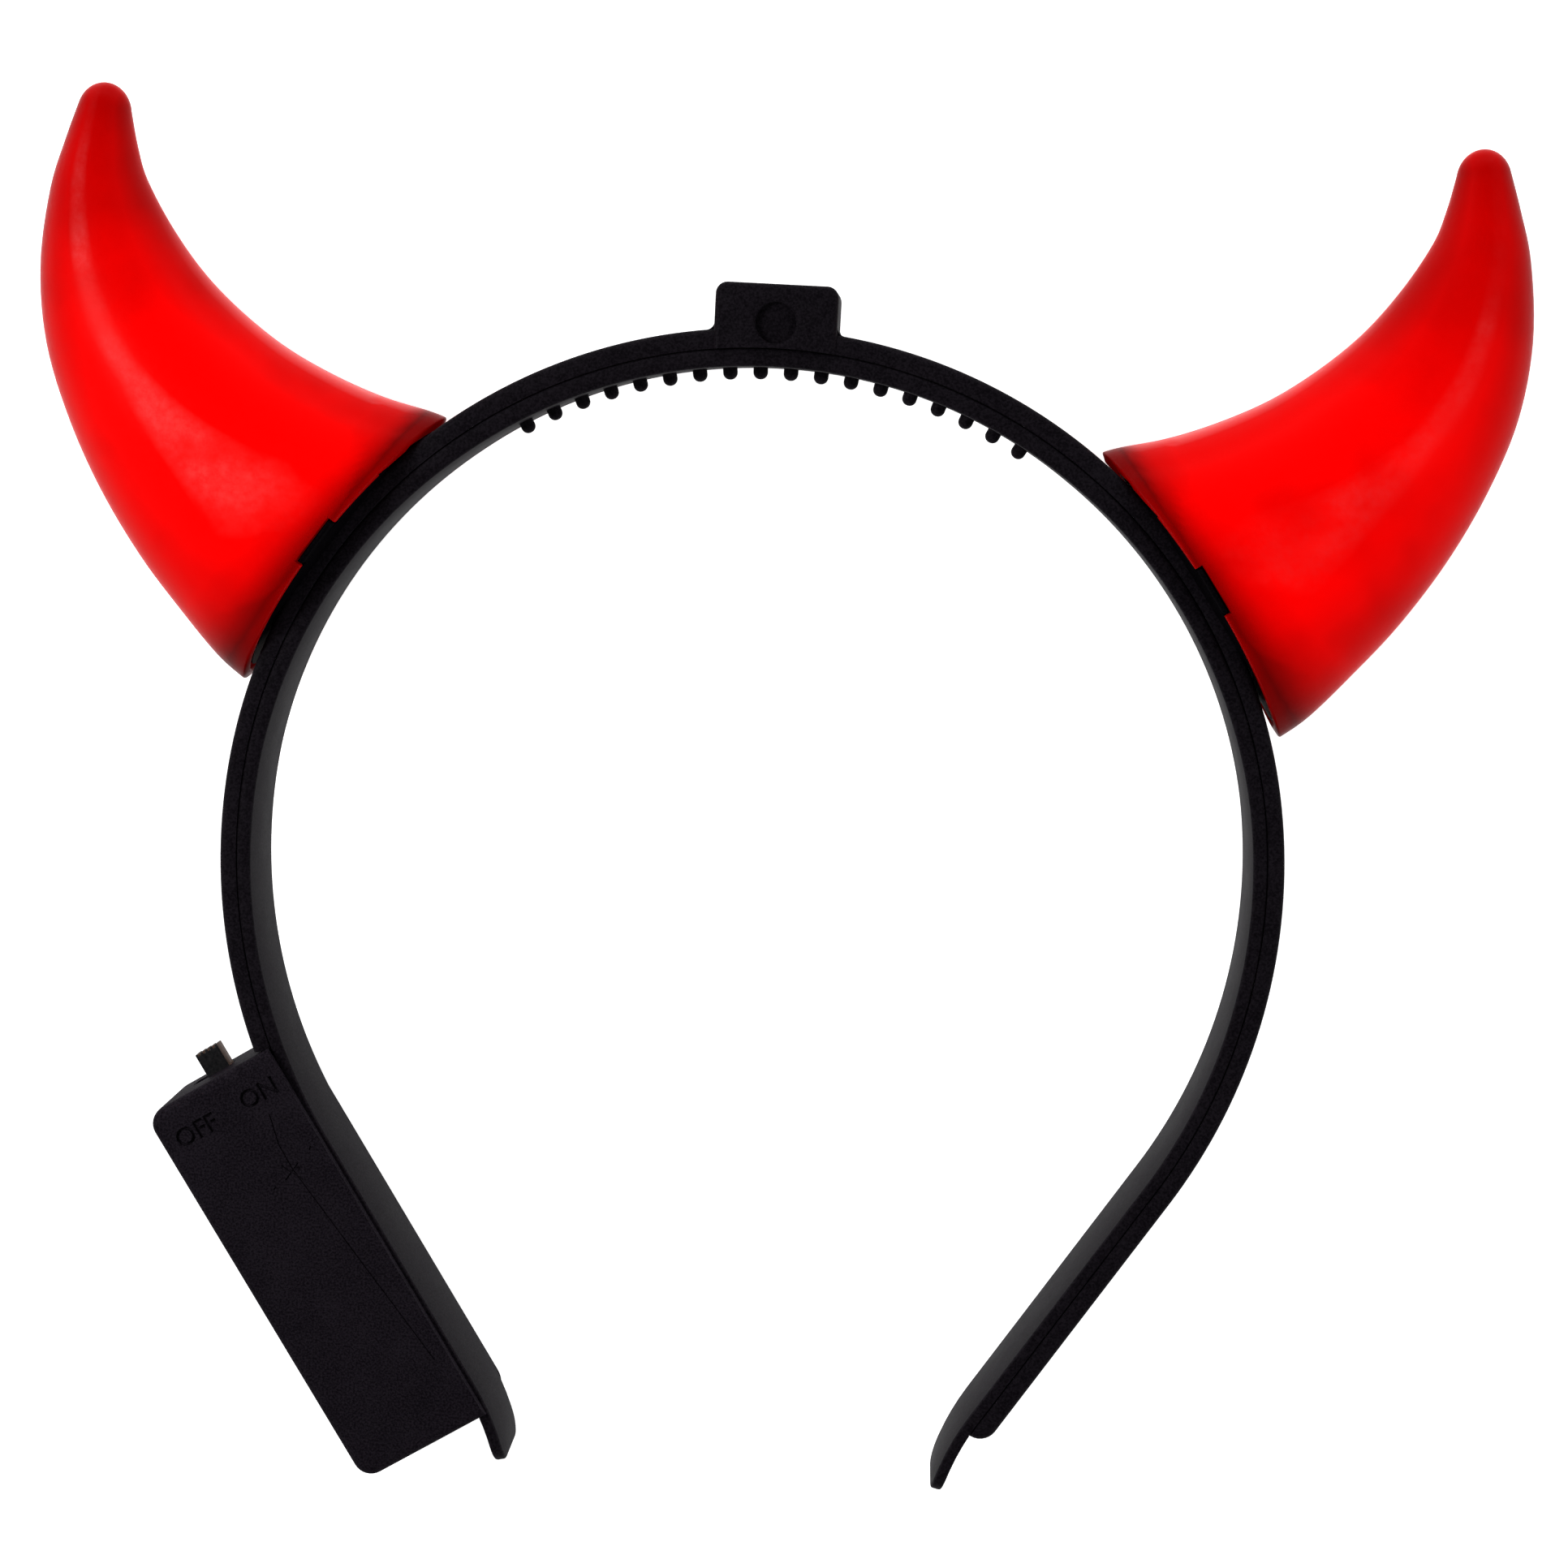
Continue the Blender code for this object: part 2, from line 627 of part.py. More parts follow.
# On the left leg, local X points away from the head and local Y down the leg
leg = bpy.data.objects.new("left_leg", None)
model.objects.link(leg)
leg.rotation_euler.z = math.radians(180 + LEG_LEAN)
root = bpy.data.objects.new("headband_origin", None)
model.objects.link(root)
leg.parent = root
for obj in boxed + [o for o in cutters.objects if o.name.startswith("case_")]:
    obj.parent = leg
for obj in hoop + [o for o in cutters.objects if not o.name.startswith("case_")]:
    obj.parent = root

bpy.context.view_layer.update()
low, high = world_bounds(hoop + boxed)
root.location = (-(low.x + high.x) / 2, -(low.y + high.y) / 2, -low.z)
bpy.context.view_layer.update()
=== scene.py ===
# Light-up devil horns headband, lying on its back on a pale floor
# Pieces are modelled in millimetres round the middle of the hoop, then put in place in metres

import math

import bmesh
import bpy
from mathutils import Matrix, Vector


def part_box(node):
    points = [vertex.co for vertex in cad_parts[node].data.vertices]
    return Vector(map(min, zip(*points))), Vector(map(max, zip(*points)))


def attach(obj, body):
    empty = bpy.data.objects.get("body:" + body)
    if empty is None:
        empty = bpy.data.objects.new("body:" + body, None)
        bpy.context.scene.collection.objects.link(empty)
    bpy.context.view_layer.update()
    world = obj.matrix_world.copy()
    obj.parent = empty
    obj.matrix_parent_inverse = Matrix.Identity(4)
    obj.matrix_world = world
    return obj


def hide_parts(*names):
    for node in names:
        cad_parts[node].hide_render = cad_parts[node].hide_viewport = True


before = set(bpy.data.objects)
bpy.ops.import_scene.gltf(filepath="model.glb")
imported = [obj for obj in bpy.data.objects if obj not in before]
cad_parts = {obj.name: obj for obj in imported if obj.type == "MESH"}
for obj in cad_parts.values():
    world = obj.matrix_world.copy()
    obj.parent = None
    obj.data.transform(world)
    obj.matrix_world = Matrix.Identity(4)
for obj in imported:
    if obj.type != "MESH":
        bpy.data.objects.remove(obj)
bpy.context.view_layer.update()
print("frame loaded,", len(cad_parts), "solids")

mm = 0.001
close = 0.01           # mm, within which two places count as one
fineSides = 360        # flat sides of a cylinder that follows the hoop
smallSides = 64
scene = bpy.context.scene

# The hoop's outer line: a circle round the crown, a slightly opener arc, a leg and a curled end
hoop = {
    "radius": 69.5,
    "circle": 80.0,        # degrees on each side of the crown
    "lowerRadius": 75.2,
    "lean": 32.7,          # degrees between a leg and the middle line
    "straight": 39.1,
    "curlRadius": 31.0,
    "curl": 19.0,          # degrees
    "depth": 13.0,
    "gap": 0.3,
    "seam": 0.04,          # between channel and strip, closed to the light
    "step": 1.7,           # between two cross cuts
    "shares": (            # place from crown to end, then shares of the cover and comb thickness
        (0.00, 1.00, 1.00),
        (0.22, 0.98, 0.98),
        (0.48, 0.86, 0.82),
        (0.75, 0.96, 0.66),
        (1.00, 1.00, 0.64),
    ),
}
cover = {"thick": 2.5, "wall": 1.2, "lip": 1.4, "round": 0.9, "underRound": 0.22, "nose": 2.35,
         "setback": 8.4, "startWall": 1.0, "endWall": 7.0}
comb = {"thick": 2.05, "round": 0.45, "tipRound": 2.6}


def hoopRuns():
    lower = math.radians(90 + hoop["lean"] - hoop["circle"])
    circle = math.radians(hoop["circle"])
    curl = math.radians(hoop["curl"])
    return ((hoop["radius"] * circle, circle), (hoop["lowerRadius"] * lower, lower),
            (hoop["straight"], 0.0), (hoop["curlRadius"] * curl, -curl))


def hoopPoint(along):
    # point and outward direction on the outer line, left of the crown is negative
    side = -1 if along < 0 else 1
    left = abs(along)
    point = Vector((0, hoop["radius"], 0))
    angle = 0.0
    for run, turn in hoopRuns():
        step = min(left, run)
        if turn:
            radius = run / turn
            out = Vector((math.sin(angle), math.cos(angle), 0))
            angle += step / radius
            point += radius * (Vector((math.sin(angle), math.cos(angle), 0)) - out)
        else:
            point += step * Vector((math.cos(angle), -math.sin(angle), 0))
        left -= step
    point += left * Vector((math.cos(angle), -math.sin(angle), 0))
    return (Vector((side * point.x, point.y, 0)),
            Vector((side * math.sin(angle), math.cos(angle), 0)))


def shares(along):
    place = min(1.0, abs(along) / hoopLength)
    for low, high in zip(hoop["shares"], hoop["shares"][1:]):
        if place <= high[0]:
            part = (place - low[0]) / (high[0] - low[0])
            return (low[1] + (high[1] - low[1]) * part, low[2] + (high[2] - low[2]) * part)
    return hoop["shares"][-1][1:]


hoopLength = sum(run for run, turn in hoopRuns())
lowerTurn = math.radians(90 + hoop["lean"] - hoop["circle"])
legOffset = hoop["radius"] + (hoop["lowerRadius"] - hoop["radius"]) * (1 - math.cos(lowerTurn))
legLead = (hoop["lowerRadius"] - hoop["radius"]) * math.sin(lowerTurn)
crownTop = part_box("band_cover")[1].y / mm
combLow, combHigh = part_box("comb_band")


def barToHoop(bm, under):
    # bends a straight bar round the hoop; under is how its depth becomes depth below the line
    for vert in bm.verts:
        point, out = hoopPoint(vert.co.x)
        vert.co = point - out * under(vert.co.x, -vert.co.y) + Vector((0, 0, vert.co.z))


def cutAt(bm, spot, way=(1, 0, 0)):
    bmesh.ops.bisect_plane(bm, geom=bm.verts[:] + bm.edges[:] + bm.faces[:], dist=close / 10,
                           plane_co=spot, plane_no=way)


def crossCut(bm, start, end):
    # cuts a straight bar into short lengths that can follow the hoop
    count = round((end - start) / hoop["step"])
    for i in range(1, count):
        cutAt(bm, (start + (end - start) * i / count, 0, 0))


def bar(size, middle):
    bm = bmesh.new()
    bmesh.ops.create_cube(bm, size=1.0)
    bmesh.ops.scale(bm, vec=size, verts=bm.verts)
    bmesh.ops.translate(bm, vec=middle, verts=bm.verts)
    return bm


def roundOff(bm, edges, offset, segments):
    return bmesh.ops.bevel(bm, geom=edges, offset=offset, segments=segments, profile=0.5,
                           affect="EDGES", clamp_overlap=True, material=-1)


def edgesWhere(bm, test):
    return [edge for edge in bm.edges if test(edge.verts[0].co, edge.verts[1].co)]


def sharpEdges(bm, angle=1.0):
    return [e for e in bm.edges if len(e.link_faces) == 2 and e.calc_face_angle() > angle]


def turnedBy(bm, angle):
    bmesh.ops.rotate(bm, matrix=Matrix.Rotation(angle, 3, "Z"), cent=(0, 0, 0), verts=bm.verts)
    return bm


def workObject(bm):
    mesh = bpy.data.meshes.new("work")
    bm.to_mesh(mesh)
    bm.free()
    obj = bpy.data.objects.new("work", mesh)
    scene.collection.objects.link(obj)
    return obj


def applied(obj):
    # the mesh with its modifiers, as a new bmesh
    bpy.context.view_layer.update()
    graph = bpy.context.evaluated_depsgraph_get()
    mesh = bpy.data.meshes.new_from_object(obj.evaluated_get(graph))
    bm = bmesh.new()
    bm.from_mesh(mesh)
    bpy.data.objects.remove(obj)
    bpy.data.meshes.remove(mesh)
    return bm


def combine(bm, tool, operation):
    obj, other = workObject(bm), workObject(tool)
    boolean = obj.modifiers.new("combine", "BOOLEAN")
    boolean.operation = operation
    boolean.solver = "EXACT"
    boolean.object = other
    result = applied(obj)
    bpy.data.objects.remove(other)
    return result


def finishPiece(name, bm, material, node, body="headband", sharp=32):
    bmesh.ops.translate(bm, vec=hoopShift, verts=bm.verts)
    bmesh.ops.scale(bm, vec=(mm, mm, mm), verts=bm.verts)
    bmesh.ops.recalc_face_normals(bm, faces=bm.faces)
    mesh = bpy.data.meshes.new(name)
    bm.to_mesh(mesh)
    bm.free()
    mesh.shade_smooth()
    mesh.set_sharp_from_angle(angle=math.radians(sharp))
    mesh.materials.append(material)
    piece = bpy.data.objects.new(name, mesh)
    scene.collection.objects.link(piece)
    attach(piece, body)
    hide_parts(node)


# Finishes
def newMaterial(name):
    material = bpy.data.materials.new(name)
    material.use_nodes = True
    nodes, links = material.node_tree.nodes, material.node_tree.links
    return material, nodes, links, nodes["Principled BSDF"]


def noiseFrom(nodes, links, coords, scale, detail, roughness=0.5):
    noise = nodes.new("ShaderNodeTexNoise")
    noise.inputs["Scale"].default_value = scale
    noise.inputs["Detail"].default_value = detail
    noise.inputs["Roughness"].default_value = roughness
    links.new(coords, noise.inputs["Vector"])
    return noise.outputs["Fac"]


def rampFrom(nodes, links, value, stops):
    ramp = nodes.new("ShaderNodeValToRGB")
    elements = ramp.color_ramp.elements
    while len(elements) < len(stops):
        elements.new(0.5)
    for element, (place, color) in zip(elements, stops):
        element.position = place
        element.color = (*color, 1)
    links.new(value, ramp.inputs["Fac"])
    return ramp.outputs["Color"]


def mathFrom(nodes, links, first, second, operation="MULTIPLY"):
    # first and second are numbers or other nodes' outputs
    node = nodes.new("ShaderNodeMath")
    node.operation = operation
    for value, socket in zip((first, second), node.inputs):
        if isinstance(value, float):
            socket.default_value = value
        else:
            links.new(value, socket)
    return node.outputs[0]


def addBump(nodes, links, shader, height, distance):
    bump = nodes.new("ShaderNodeBump")
    bump.inputs["Strength"].default_value = 0.5
    bump.inputs["Distance"].default_value = distance
    links.new(height, bump.inputs["Height"])
    links.new(bump.outputs["Normal"], shader.inputs["Normal"])


def gray(level):
    return (level, level, level)


def blackPlastic(name, gloss, share):
    # share makes the whole finish darker or lighter
    look = {"dark": (0.0034, 0.0026, 0.0038), "light": (0.0100, 0.0080, 0.0108),
            "grain": 3600.0, "grainShare": 0.75, "patch": 160.0, "bump": 0.00003,
            "roughness": (0.50, 0.58)}
    material, nodes, links, shader = newMaterial(name)
    coords = nodes.new("ShaderNodeTexCoord").outputs["Object"]
    grain = noiseFrom(nodes, links, coords, look["grain"], 3)
    patch = noiseFrom(nodes, links, coords, look["patch"], 6, 0.7)
    speck = mathFrom(nodes, links, mathFrom(nodes, links, grain, look["grainShare"]),
                     mathFrom(nodes, links, patch, 1 - look["grainShare"]), "ADD")
    dark, light = ([share * part for part in look[tone]] for tone in ("dark", "light"))
    links.new(rampFrom(nodes, links, speck, ((0.40, dark), (0.60, light))),
              shader.inputs["Base Color"])
    smooth, rough = look["roughness"]
    links.new(rampFrom(nodes, links, patch, ((0.3, gray(smooth)), (0.7, gray(rough)))),
              shader.inputs["Roughness"])
    shader.inputs["Specular IOR Level"].default_value = gloss
    addBump(nodes, links, shader, grain, look["bump"])
    return material


def hornPlastic(name, paintedSheenShare):
    # the UV map holds the place from rim to tip and from the outer to the inner edge;
    # each stop below is such a place with a level, a middle or a width
    look = {"paintedShadeAlong": ((0.0, 0.24), (0.03, 0.18), (0.07, 0.38), (0.125, 0.78), (0.18, 1.0),
                           (0.45, 1.0), (0.58, 0.82), (0.75, 0.62), (0.92, 0.48), (1.0, 0.42)),
            "paintedShadeAcross": ((0.0, 0.40), (0.12, 0.68), (0.30, 1.0), (0.78, 1.0), (0.97, 0.60)),
            "blotch": 75.0, "drift": 130.0, "mottle": 1000.0, "grain": 1900.0, "bump": 0.00004,
            "red": 0.90, "glow": 0.32, "gloss": 0.02, "roughness": (0.28, 0.38),
            "paintedSheenStrength": 0.055, "paintedEdgeReflectionStrength": 0.14,
            "inside": 0.5, "insideReach": 0.002, "insideColor": (1.0, 0.05, 0.03),
            "paintedSheenMiddle": ((0.10, 0.57), (0.20, 0.50), (0.35, 0.48), (0.60, 0.42), (0.90, 0.40)),
            "paintedSheenWide": ((0.08, 0.05), (0.22, 0.18), (0.36, 0.12), (0.50, 0.075), (0.95, 0.10)),
            "paintedSheenStops": ((0.10, 0.0), (0.16, 0.35), (0.25, 0.7), (0.34, 1.0), (0.42, 0.8),
                            (0.60, 0.55), (0.68, 0.75), (0.74, 0.4), (0.95, 0.1)),
            "paintedEdgeReflectionAcross": ((0.965, 0.0), (0.985, 0.4), (1.0, 1.0)),
            "paintedEdgeReflectionAlong": ((0.05, 0.0), (0.13, 1.0), (0.45, 0.6), (0.75, 0.0))}
    material, nodes, links, shader = newMaterial(name)
    coords = nodes.new("ShaderNodeTexCoord")
    place = nodes.new("ShaderNodeSeparateXYZ")
    links.new(coords.outputs["UV"], place.inputs[0])
    along, across = place.outputs["X"], place.outputs["Y"]

    def grayRamp(value, stops):
        return rampFrom(nodes, links, value, [(spot, gray(level)) for spot, level in stops])

    def combined(first, second, operation="MULTIPLY"):
        return mathFrom(nodes, links, first, second, operation)

    # painted light and shade: the level below is darkest at the rim, where the black seat shows
    # through, brightest low in the middle, darker towards the tip and at both edges, and darker in
    # random blotches; it sets both the red and the glow
    blotch = noiseFrom(nodes, links, coords.outputs["Object"], look["blotch"], 2)
    level = combined(grayRamp(along, look["paintedShadeAlong"]),
                     grayRamp(across, look["paintedShadeAcross"]))
    level = combined(level, grayRamp(blotch, ((0.30, 0.82), (0.56, 1.0))))

    # a mottled painted highlight streak down the front, and a painted reflection along the inner
    # edge
    mottle = noiseFrom(nodes, links, coords.outputs["Object"], look["mottle"], 6, 0.65)
    off = combined(across, grayRamp(along, look["paintedSheenMiddle"]), "SUBTRACT")
    off = combined(combined(off, 0.0, "ABSOLUTE"), grayRamp(along, look["paintedSheenWide"]), "DIVIDE")
    paintedSheen = combined(grayRamp(off, ((0.35, 1.0), (1.0, 0.0))),
                      grayRamp(along, look["paintedSheenStops"]))
    paintedSheen = combined(paintedSheen, grayRamp(mottle, ((0.35, 0.35), (0.65, 1.0))))
    drift = noiseFrom(nodes, links, coords.outputs["Object"], look["drift"], 2)
    paintedSheen = combined(paintedSheen, grayRamp(drift, ((0.38, 0.30), (0.58, 1.0))))
    # painted reflection: a pale line along the inner edge, from near the rim to three quarters of
    # the way up
    edge = combined(grayRamp(across, look["paintedEdgeReflectionAcross"]), grayRamp(along, look["paintedEdgeReflectionAlong"]))
    # the pale streak and the pale inner edge are painted highlight and painted reflection, added
    # to green and blue
    paintedHighlights = combined(combined(paintedSheen, look["paintedSheenStrength"] * paintedSheenShare),
                    combined(edge, look["paintedEdgeReflectionStrength"]), "ADD")
    tint = nodes.new("ShaderNodeCombineColor")
    links.new(combined(combined(level, look["red"]), paintedHighlights, "ADD"), tint.inputs["Red"])
    links.new(paintedHighlights, tint.inputs["Green"])
    links.new(paintedHighlights, tint.inputs["Blue"])
    links.new(tint.outputs[0], shader.inputs["Base Color"])
    # painted glow: red emission that follows the painted light and shade level and brightens the
    # horn in place of light
    shader.inputs["Emission Color"].default_value = (1, 0, 0, 1)
    links.new(combined(level, look["glow"]), shader.inputs["Emission Strength"])
    smooth, rough = look["roughness"]
    links.new(grayRamp(mottle, ((0.35, smooth), (0.65, rough))), shader.inputs["Roughness"])
    shader.inputs["Specular IOR Level"].default_value = look["gloss"]
    shader.inputs["Subsurface Weight"].default_value = look["inside"]
    shader.inputs["Subsurface Radius"].default_value = look["insideColor"]
    shader.inputs["Subsurface Scale"].default_value = look["insideReach"]
    grain = noiseFrom(nodes, links, coords.outputs["Object"], look["grain"], 3)
    addBump(nodes, links, shader, grain, look["bump"])
    return material


def switchPlastic():
    look = {"dark": (0.006, 0.006, 0.007), "light": (0.018, 0.017, 0.018), "patch": 2200.0,
            "paintedLitSide": (0.17, 0.10, 0.07), "roughness": 0.45, "gloss": 0.06}
    firstColor, secondColor, mixedColor = 6, 7, 2      # a colour Mix node's own sockets
    material, nodes, links, shader = newMaterial("switchPlastic")
    coords = nodes.new("ShaderNodeTexCoord").outputs["Object"]
    patch = noiseFrom(nodes, links, coords, look["patch"], 4)
    # painted highlight: the side facing the head is painted a light warm tan, as if lit
    side = nodes.new("ShaderNodeVectorMath")
    side.operation = "DOT_PRODUCT"
    links.new(nodes.new("ShaderNodeNewGeometry").outputs["Normal"], side.inputs[0])
    side.inputs[1].default_value = (math.cos(math.radians(hoop["lean"])),
                                    math.sin(math.radians(hoop["lean"])), 0)
    paintedLitSideMix = nodes.new("ShaderNodeMix")
    paintedLitSideMix.data_type = "RGBA"
    links.new(rampFrom(nodes, links, side.outputs["Value"],
                       ((0.90, gray(0.0)), (0.97, gray(1.0)))), paintedLitSideMix.inputs["Factor"])
    links.new(rampFrom(nodes, links, patch, ((0.3, look["dark"]), (0.7, look["light"]))),
              paintedLitSideMix.inputs[firstColor])
    paintedLitSideMix.inputs[secondColor].default_value = (*look["paintedLitSide"], 1)
    links.new(paintedLitSideMix.outputs[mixedColor], shader.inputs["Base Color"])
    shader.inputs["Roughness"].default_value = look["roughness"]
    shader.inputs["Specular IOR Level"].default_value = look["gloss"]
    return material


black = blackPlastic("blackPlastic", 0.018, 1.0)
# horn seats: black plastic darkened to three tenths and nearly without gloss, as painted shade
# where the seat shows between the horn's rim and the band
seatPaintedShade = blackPlastic("seatPaintedShadePlastic", 0.004, 0.3)
boxBlack = blackPlastic("boxPlastic", 0.004, 1.45)
# the left horn carries the full painted sheen, the right about a third of it, since the sheen
# stands for light from the left
reds = {"left": hornPlastic("hornPlastic.left", 1.0),
        "right": hornPlastic("hornPlastic.right", 0.35)}
switchBlack = switchPlastic()
print("finishes made")


# The comb band: a strip with rounded tips and a row of pegs under the crown
pegs = {"count": 18, "pitch": 3.52, "diameter": 1.9, "length": 1.55, "sides": 24,
        "tipShare": 0.95, "tipSteps": 6}      # pitch in degrees; the tip's rounding, of a radius


def combUnder(along, below):
    # the strip's depth below the hoop's line, under the channel
    coverShare, combShare = shares(along)
    near = cover["thick"] * coverShare + hoop["seam"]
    deep = below / comb["thick"]
    return near + deep * (hoop["gap"] - hoop["seam"] + comb["thick"] * combShare)


def makeCombBand():
    half = hoop["depth"] / 2
    bm = bar((2 * hoopLength, comb["thick"], hoop["depth"]), (0, -comb["thick"] / 2, 0))
    roundOff(bm, edgesWhere(bm, lambda a, b: abs(a.y - b.y) > 1), comb["tipRound"], 6)
    rims = edgesWhere(bm, lambda a, b: abs(a.y - b.y) < close and (
        (abs(abs(a.z) - half) < close and abs(abs(b.z) - half) < close)
        or min(abs(a.x), abs(b.x)) > hoopLength - comb["tipRound"] - close))
    roundOff(bm, rims, comb["round"], 3)
    crossCut(bm, -hoopLength, hoopLength)
    barToHoop(bm, combUnder)

    surface = hoop["radius"] - cover["thick"] - hoop["gap"] - comb["thick"]
    sunk = comb["thick"] / 2
    radius = pegs["diameter"] / 2
    row = bmesh.new()
    for i in range(pegs["count"]):
        height = pegs["length"] + sunk
        made = bmesh.ops.create_cone(row, cap_ends=True, segments=pegs["sides"], depth=height,
                                     radius1=radius, radius2=radius)["verts"]
        tip = [e for e in {e for v in made for e in v.link_edges}
               if all(v.co.z < 0 for v in e.verts)]
        rounded = roundOff(row, tip, radius * pegs["tipShare"], pegs["tipSteps"])
        verts = list({v for v in made if v.is_valid} | set(rounded["verts"]))
        angle = math.radians((i - (pegs["count"] - 1) / 2) * pegs["pitch"])
        turn = Matrix.Rotation(-angle, 4, "Z")
        turn = turn @ Matrix.Translation((0, surface - pegs["length"] + height / 2, 0))
        turn = turn @ Matrix.Rotation(math.radians(-90), 4, "X")
        bmesh.ops.transform(row, matrix=turn, verts=verts)
    return combine(bm, row, "UNION")


# The outer channel with the lug on the crown
lug = {"width": 15.7, "height": 5.6, "proud": 0.5, "corner": 1.5, "fillet": 1.2, "edge": 0.75,
       "root": 2.0, "filletInto": 0.5, "filletUnder": 1.0,
       "dimple": 5.2, "dimpleDepth": 1.1, "dimpleRim": 0.35, "dimpleAbove": 0.7}
hoopShift = Vector((0, crownTop - hoop["radius"] - lug["height"],
                    (combLow.z + combHigh.z) / 2 / mm))
case = {"start": -10.2, "length": 57.3, "reach": 17.9, "overhang": 1.3, "lipWall": 1.2,
        "wall": 1.3, "corner": 2.5, "edge": 1.45, "lid": 1.2, "lidEdge": 0.25}


def coverStart():
    upTo = sum(run for run, turn in hoopRuns()[:2])
    back = hoop["lowerRadius"] * math.asin((legLead - case["start"]) / hoop["lowerRadius"])
    return -(upTo - back) + hoop["gap"]


def cylinder(radius, depth, segments):
    bm = bmesh.new()
    bmesh.ops.create_cone(bm, cap_ends=True, segments=segments, depth=depth, radius1=radius,
                          radius2=radius)
    return bm


def makeLug():
    top = hoop["radius"] + lug["height"]
    half = lug["width"] / 2
    low = hoop["radius"] - cover["thick"] - lug["root"]
    deep = hoop["depth"] / 2 + lug["proud"]
    bm = bar((lug["width"], top - low, 2 * deep), (0, (top + low) / 2, 0))
    roundOff(bm, edgesWhere(bm, lambda a, b: abs(a.z - b.z) > 1 and a.y > top - close),
             lug["corner"], 6)
    outline = edgesWhere(bm, lambda a, b: abs(a.z - b.z) < close
                         and abs(abs(a.z) - deep) < close and max(a.y, b.y) > low + close)
    roundOff(bm, outline, lug["edge"], 4)

    # hollow corners where the lug meets the channel
    fillet, into, below = lug["fillet"], lug["filletInto"], lug["filletUnder"]
    ledge = math.sqrt(hoop["radius"] ** 2 - (half + fillet) ** 2)
    flat = hoop["depth"] - 2 * cover["round"]
    for side in (-1, 1):
        corner = bar((fillet + into, fillet + below, flat),
                     (side * (half + (fillet - into) / 2), ledge + (fillet - below) / 2, 0))
        hollow = cylinder(fillet, 2 * flat, smallSides)
        bmesh.ops.translate(hollow, vec=(side * (half + fillet), ledge + fillet, 0),
                            verts=hollow.verts)
        bm = combine(bm, combine(corner, hollow, "DIFFERENCE"), "UNION")
    under = cylinder(hoop["radius"] - cover["thick"], 4 * deep, fineSides)
    bm = combine(bm, under, "DIFFERENCE")
    slack = 2 * close
    hollowDepth = 2 * (deep - lug["proud"] - cover["lip"] + slack)
    slot = cylinder(hoop["radius"] - cover["wall"] - slack, hollowDepth, fineSides)
    return combine(bm, slot, "DIFFERENCE")


def makeCover():
    start, end = coverStart(), hoopLength - cover["setback"]
    half = hoop["depth"] / 2
    thick = cover["thick"]
    bm = bar((end - start, thick, hoop["depth"]), ((start + end) / 2, -thick / 2, 0))
    roundOff(bm, edgesWhere(bm, lambda a, b: min(a.x, b.x) > end - close
                            and min(a.y, b.y) > -close), cover["nose"], 7)
    roundOff(bm, edgesWhere(bm, lambda a, b: abs(a.z - b.z) < close
                            and max(a.x, b.x) > start + close
                            and max(a.y, b.y) > -thick + close), cover["round"], 5)
    roundOff(bm, edgesWhere(bm, lambda a, b: max(a.y, b.y) < -thick + close
                            and abs(abs(a.z) - half) < close and abs(abs(b.z) - half) < close),
             cover["underRound"], 2)

    # the hollow for the wires, open towards the strip
    first, last = start + cover["startWall"], end - cover["endWall"]
    lips = half - cover["lip"]
    cutAt(bm, (first, 0, 0))
    cutAt(bm, (last, 0, 0))
    cutAt(bm, (0, 0, lips), (0, 0, 1))
    cutAt(bm, (0, 0, -lips), (0, 0, 1))
    floor = [f for f in bm.faces if f.normal.y < -0.9 and abs(f.calc_center_median().z) < lips
             and first < f.calc_center_median().x < last]
    grown = bmesh.ops.extrude_face_region(bm, geom=floor)["geom"]
    moved = [g for g in grown if isinstance(g, bmesh.types.BMVert)]
    bmesh.ops.translate(bm, vec=(0, thick - cover["wall"], 0), verts=moved)
    crossCut(bm, start, end)
    barToHoop(bm, lambda along, below: below * shares(along)[0])
    bm = combine(bm, makeLug(), "UNION")

    # the round recess in the front of the lug
    front = hoop["depth"] / 2 + lug["proud"]
    middle = Vector((0, hoop["radius"] + lug["dimpleAbove"], front))
    tool = cylinder(lug["dimple"] / 2, 2 * lug["dimpleDepth"], smallSides)
    bmesh.ops.translate(tool, vec=middle, verts=tool.verts)
    bm = combine(bm, tool, "DIFFERENCE")
    rim = edgesWhere(bm, lambda a, b: all(
        abs(p.z - front) < close and abs((p - middle).length - lug["dimple"] / 2) < 2 * close
        for p in (a, b)))
    roundOff(bm, rim, lug["dimpleRim"], 3)
    return bm


finishPiece("combBand", makeCombBand(), black, "comb_band")
finishPiece("bandCover", makeCover(), black, "band_cover")
print("hoop made")


